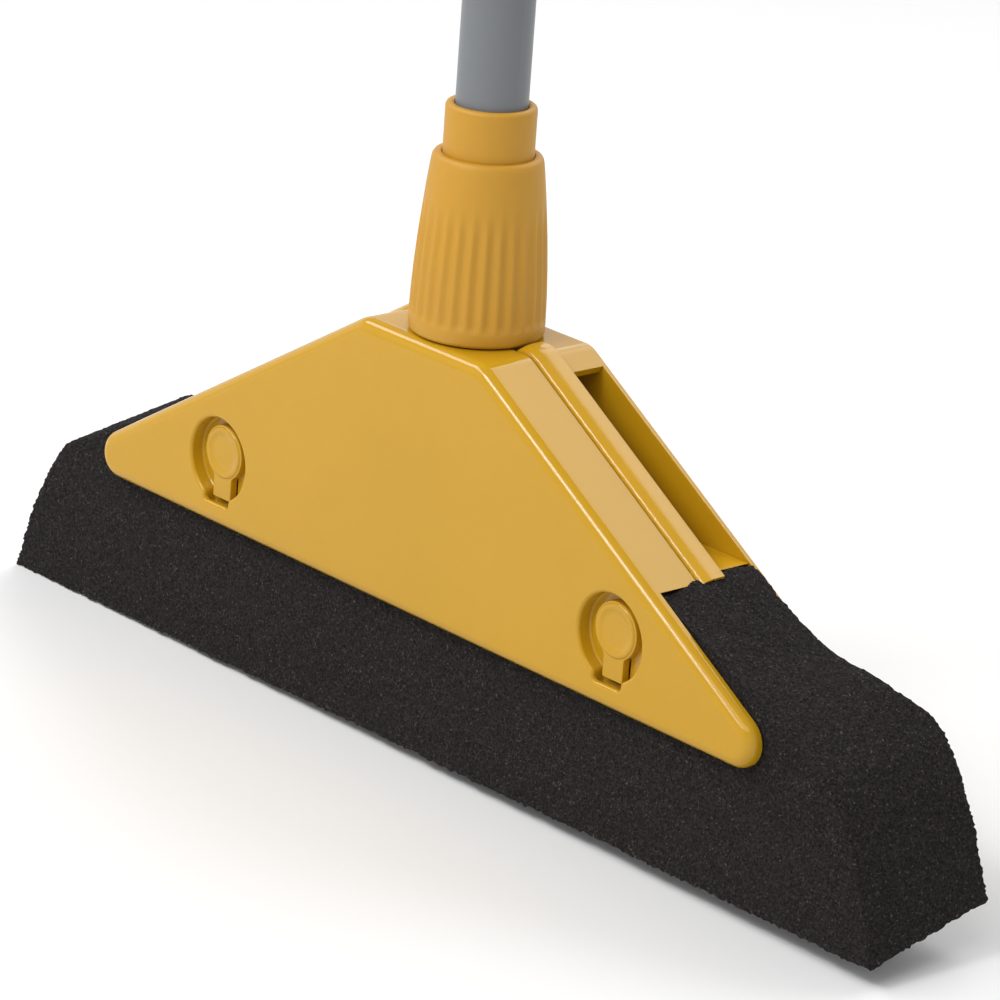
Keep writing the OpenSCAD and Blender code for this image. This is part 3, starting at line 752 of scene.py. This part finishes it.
# It has settled a little askew in the clamp, and bulges over the ends of the bead
askew = 3.6 * mm * x / foam_half
free = smooth_step((run - 124 * mm) / (25 * mm))
bulge = np.maximum(0, 1 - ((through - 0.55) / np.where(through > 0.55, 0.7, 0.42)) ** 2)
bulge *= 1 + 0.5 * smooth_step((through - 0.6) / 0.2)
bulge *= smooth_step((run - 117 * mm) / (5 * mm)) * (1 - smooth_step((run - 127 * mm) / (35 * mm)))
top = top + askew * free + 3.6 * mm * bulge
outside = (np.abs(x) - (roof_half + (roof_z - up * top) / math.tan(slope))) * math.sin(slope)
outside = np.maximum(outside, np.abs(x) - plate_half)
swell = smooth_step(np.maximum(plate_low - 4 * mm - up * top, outside) / (28 * mm))
back_face = foam_back_inner + (foam_high.y - foam_back_inner) * swell
y = foam_low.y + through * (back_face - foam_low.y)
bottom = y * bevel_rise + askew
z = bottom + up * (top - bottom)

# Pockets for the cups in front and for the posts behind
cup_wall = 3.4 * mm
for side in (-1, 1):
    from_cup = np.hypot(x - side * catch_x, z - catch_z)
    beside = np.abs(x - side * catch_x)
    in_notch = (beside < notch_half + cup_wall) & (z < catch_z) & (z > notch_low - 4 * mm)
    in_cup = (from_cup < cup_r + cup_wall) | in_notch
    y = np.where((through < 0.01) & in_cup, cup_back_y + 0.5 * mm, y)
    in_post = np.hypot(x - side * catch_x, z - thumb_z) < post_r + 0.6 * mm
    y = np.where((through > 0.99) & in_post, cup_back_y + 1.5 * mm, y)
for v, *place in zip(bm.verts, x, y, z):
    v.co = place

# The free corners are worn soft: the nearer to the shoulders, the rounder
looseness = smooth_step((np.abs(x) - 138 * mm) / (45 * mm)) * smooth_step((up - 0.38) / 0.55)
verts = bm.verts[:]
passes = 18
for i in range(passes):
    loose = [verts[k] for k in np.nonzero(looseness > (i + 0.5) / passes)[0]]
    bmesh.ops.smooth_vert(bm, verts=loose, factor=0.5, use_axis_x=True, use_axis_y=True, use_axis_z=True)

# The cut surface: open pores, slight lumps, and long waves along the block
bm.normal_update()
for v in bm.verts:
    waves = 0.45 * mm * noise.noise(v.co * 16) + 0.2 * mm * noise.noise(v.co * 90)
    pores = 0.75 * mm * noise.noise(v.co * 1100) + 0.2 * mm * noise.noise(v.co * 450)
    held = smooth_step(max(v.co.z - plate_low + 4 * mm, 0) / (12 * mm)) if abs(v.co.x) < 118 * mm else 0
    v.co += v.normal * (waves + pores) * (1 - held)
foam_pad = finished("foam_pad_block", bm, foam, "pad", "foam", "foam_pad", sharp=65)

board = moulded("charcoal_board", (0.03, 0.03, 0.032), (30.0, 0.1), 0.55, 0.1, 1200.0, 0.03 * mm, 0.3)
for name in ("pad_board", "foot_plug", "slide_bush"):
    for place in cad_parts[name].material_slots:
        place.material = board

# ---------------------------------------------------------------- pole socket and clamp
# Matt yellow, spark-grained mouldings. The socket is screwed into the frame's boss. The nut
# has soft grip flutes over its lower two thirds, and it draws the split collet down round
# the pole.
matt_yellow = moulded("matt_yellow", (0.47, 0.236, 0.012), (18.0, 0.04), 0.5, 0.05, 1600.0, 0.05 * mm, 0.5)
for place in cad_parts["pole_socket"].material_slots:
    place.material = matt_yellow

pole_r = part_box("lower_tube")[1].x
running = 0.05 * mm


def fluted(bm, count, depth, inner_r, z0, z1, fade):
    """Presses soft flutes into a turned piece between two heights; they fade out at the top"""
    for v in bm.verts:
        radius = math.hypot(v.co.x, v.co.y)
        if radius > inner_r and z0 < v.co.z < z1:
            strength = min(1, (v.co.z - z0) / (1.5 * mm)) * min(1, (z1 - v.co.z) / fade)
            wave = (0.5 - 0.5 * math.cos(count * math.atan2(v.co.y, v.co.x))) ** 0.8
            v.co.xy *= 1 - depth * smooth_step(strength) * wave / radius


nut_low, nut_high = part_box("clamp_nut")
nut_z, nut_top = nut_low.z, nut_high.z
nut_r = nut_high.x
nut_top_r = 19.3 * mm
spigot_r = 17 * mm
throat_r = 15.75 * mm
foot_band = 5.7 * mm
flutes = 28
nut_h = nut_top - nut_z
bm = bmesh.new()
profile = [(spigot_r + running, nut_z + 0.6 * mm), (spigot_r + 0.6 * mm, nut_z), (nut_r - 1.6 * mm, nut_z),
           (nut_r - 0.5 * mm, nut_z + 0.45 * mm), (nut_r, nut_z + 1.5 * mm)]
levels = 44
for i in range(levels + 1):
    share = i / levels
    profile.append((nut_r - (nut_r - nut_top_r) * share ** 1.7, nut_z + foot_band - 1 * mm
                    + share * (nut_h - foot_band - 1.6 * mm)))
profile += [(nut_top_r - 0.3 * mm, nut_top - 1.3 * mm), (nut_top_r - 0.9 * mm, nut_top - 0.35 * mm),
            (nut_top_r - 1.7 * mm, nut_top), (throat_r + 0.5 * mm, nut_top), (throat_r, nut_top - 0.5 * mm),
            (throat_r, nut_top - 16 * mm), (spigot_r + running, nut_top - 18 * mm)]
spun(bm, profile, flutes * 8)
fluted(bm, flutes, 0.95 * mm, nut_top_r, nut_z + foot_band, nut_z + nut_h * 0.8, nut_h * 0.24)
finished("clamp_nut_fluted", bm, matt_yellow, "nut", "clamp_plastic", "clamp_nut", sharp=60)

collet_low, collet_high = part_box("collet")
collet_r = collet_high.x
bm = bmesh.new()
spun(bm, [(pole_r + running, collet_low.z), (collet_r - 0.6 * mm, collet_low.z),
          (collet_r - 0.6 * mm, nut_top - 18 * mm), (collet_r, nut_top - 16 * mm),
          (collet_r, nut_top - 4 * mm), (collet_r, collet_high.z - 1.5 * mm),
          (collet_r - 0.4 * mm, collet_high.z - 0.5 * mm),
          (collet_r - 1.2 * mm, collet_high.z), (pole_r + 1.0 * mm, collet_high.z),
          (pole_r + 0.3 * mm, collet_high.z - 0.4 * mm), (pole_r + running, collet_high.z - 1.2 * mm)], 96)
finished("collet_sleeve", bm, matt_yellow, "collet", "clamp_plastic", "collet")

# ---------------------------------------------------------------- pole
# Two telescoping metal tubes with a satin grey plastic coating. A sleeve pressed over the
# lower one carries a small fluted lock nut that grips the upper one.
grey_coating = moulded("grey_coating", (0.146, 0.155, 0.166), (10.0, 0.04), 0.36, 0.05,
                       1400.0, 0.01 * mm, 0.3)
for name in ("lower_tube", "upper_tube"):
    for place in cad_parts[name].material_slots:
        place.material = grey_coating

sleeve_low, sleeve_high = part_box("lock_sleeve")
sleeve_r = sleeve_high.x
tube_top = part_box("lower_tube")[1].z
upper_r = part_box("upper_tube")[1].x
collar_r = 14 * mm
bm = bmesh.new()
profile = [(pole_r, sleeve_low.z + 0.5 * mm), (pole_r + 0.5 * mm, sleeve_low.z),
           (sleeve_r - 1 * mm, sleeve_low.z), (sleeve_r - 0.3 * mm, sleeve_low.z + 0.3 * mm),
           (sleeve_r, sleeve_low.z + 1 * mm)]
for k in range(4):
    groove = sleeve_low.z + (8 + 4 * k) * mm
    profile += [(sleeve_r, groove - 0.8 * mm), (sleeve_r - 0.5 * mm, groove - 0.3 * mm),
                (sleeve_r - 0.5 * mm, groove + 0.3 * mm), (sleeve_r, groove + 0.8 * mm)]
profile += [(sleeve_r, tube_top + 2.2 * mm), (sleeve_r - 0.8 * mm, tube_top + 3 * mm),
            (collar_r, tube_top + 3 * mm), (collar_r, sleeve_high.z - 0.5 * mm),
            (collar_r - 0.5 * mm, sleeve_high.z),
            (upper_r + running, sleeve_high.z), (upper_r + running, tube_top), (pole_r, tube_top)]
spun(bm, profile, 96)
finished("lock_sleeve_ribbed", bm, matt_yellow, "pole", "clamp_plastic", "lock_sleeve")

lock_low, lock_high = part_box("lock_nut")
lock_r = lock_high.x
lock_top_r = 15.5 * mm
lock_h = lock_high.z - lock_low.z
bm = bmesh.new()
profile = [(collar_r + running, lock_low.z), (lock_r - 1.2 * mm, lock_low.z),
           (lock_r - 0.3 * mm, lock_low.z + 0.4 * mm), (lock_r, lock_low.z + 1.2 * mm)]
for i in range(25):
    share = i / 24
    profile.append((lock_r - (lock_r - lock_top_r) * share ** 1.3,
                    lock_low.z + 4 * mm + share * (lock_h - 5.4 * mm)))
profile += [(lock_top_r - 0.5 * mm, lock_high.z - 0.5 * mm), (lock_top_r - 1.4 * mm, lock_high.z),
            (upper_r + 0.6 * mm, lock_high.z), (upper_r + 2 * running, lock_high.z - 0.5 * mm),
            (upper_r + 2 * running, lock_high.z - 10 * mm), (collar_r + running, lock_high.z - 13 * mm)]
lock_flutes = 20
spun(bm, profile, lock_flutes * 8)
fluted(bm, lock_flutes, 0.8 * mm, lock_top_r, lock_low.z + 5 * mm, lock_low.z + lock_h * 0.78, lock_h * 0.3)
finished("lock_nut_fluted", bm, matt_yellow, "lock_nut", "clamp_plastic", "lock_nut", sharp=60)

# ---------------------------------------------------------------- hand grip and end cap
# A soft charcoal rubber grip with three finger swells and fine ribs is pushed on the upper
# tube. A matt yellow cap closes its end, with a flat eye to hang the tool by.
grip_low, grip_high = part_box("hand_grip")
grip_r = grip_high.x
grip_h = grip_high.z - grip_low.z
rubber = moulded("grip_rubber", (0.033, 0.032, 0.032), (25.0, 0.12), 0.68, 0.08,
                 1100.0, 0.06 * mm, 0.5, specular=0.35)
bm = bmesh.new()
profile = [(upper_r, grip_low.z), (grip_r - 1.5 * mm, grip_low.z),
           (grip_r - 0.4 * mm, grip_low.z + 0.4 * mm), (grip_r, grip_low.z + 1.5 * mm),
           (grip_r, grip_low.z + 6 * mm)]
rib_pitch = 2 * mm
ribs = int((grip_h - 13 * mm) / rib_pitch)
for i in range(ribs * 4 + 1):
    share = i / (ribs * 4)
    swell = 1.6 * mm * math.sin(math.pi * share) * (0.65 - 0.35 * math.cos(6 * math.pi * share))
    rib = 0.3 * mm * (0.5 - 0.5 * math.cos(2 * math.pi * i / 4))
    profile.append((grip_r - swell - rib, grip_low.z + 6.5 * mm + share * ribs * rib_pitch))
profile += [(grip_r, grip_high.z - 5.5 * mm), (grip_r, grip_high.z - 1 * mm),
            (grip_r - 0.6 * mm, grip_high.z), (upper_r, grip_high.z)]
spun(bm, profile, 72)
finished("hand_grip_rubber", bm, rubber, "upper", "grip_rubber", "hand_grip")

eye_r = 4.5 * mm
eye_w = 20 * mm
eye_t = 7 * mm
cap_low, cap_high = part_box("end_cap")
eye_z = cap_high.z - eye_w / 2
cap_z = grip_high.z + 0.3 * mm
cap_top = cap_z + 9 * mm
bm = bmesh.new()
spun(bm, [(0, cap_low.z), (upper_r - 1 * mm, cap_low.z), (upper_r - 1 * mm, cap_z),
          (grip_r - 0.5 * mm, cap_z), (grip_r, cap_z + 0.5 * mm), (grip_r, cap_z + 4 * mm),
          (grip_r - 0.8 * mm, cap_z + 6 * mm),
          (grip_r - 2.4 * mm, cap_z + 7.8 * mm), (grip_r - 5 * mm, cap_top), (0, cap_top)], 72)
eye_section = [(1.6 * mm, 0), (0.5 * mm, 0.4 * mm), (0, 1.5 * mm), (0, eye_t - 1.5 * mm),
               (0.5 * mm, eye_t - 0.4 * mm), (1.6 * mm, eye_t)]


def tongue_line(inset):
    """The outline of the eye's tongue, round at its top, with its foot inside the cap"""
    line = arc((0, eye_z), eye_w / 2 - inset, 0, math.pi, 24)
    foot = cap_top - 3 * mm
    return line + [Vector((-eye_w / 2 + inset, foot)), Vector((eye_w / 2 - inset, foot))]


tongue = [ring(bm, tongue_line(inset), depth - eye_t / 2) for inset, depth in eye_section]
hole = [ring(bm, circle_line(0, eye_z, eye_r + inset * 0.6), depth - eye_t / 2)
        for inset, depth in eye_section]
lofted(bm, tongue)
lofted(bm, hole)
plate(bm, tongue[0] + hole[0])
plate(bm, tongue[-1] + hole[-1])
finished("end_cap_eye", bm, matt_yellow, "upper", "clamp_plastic", "end_cap")
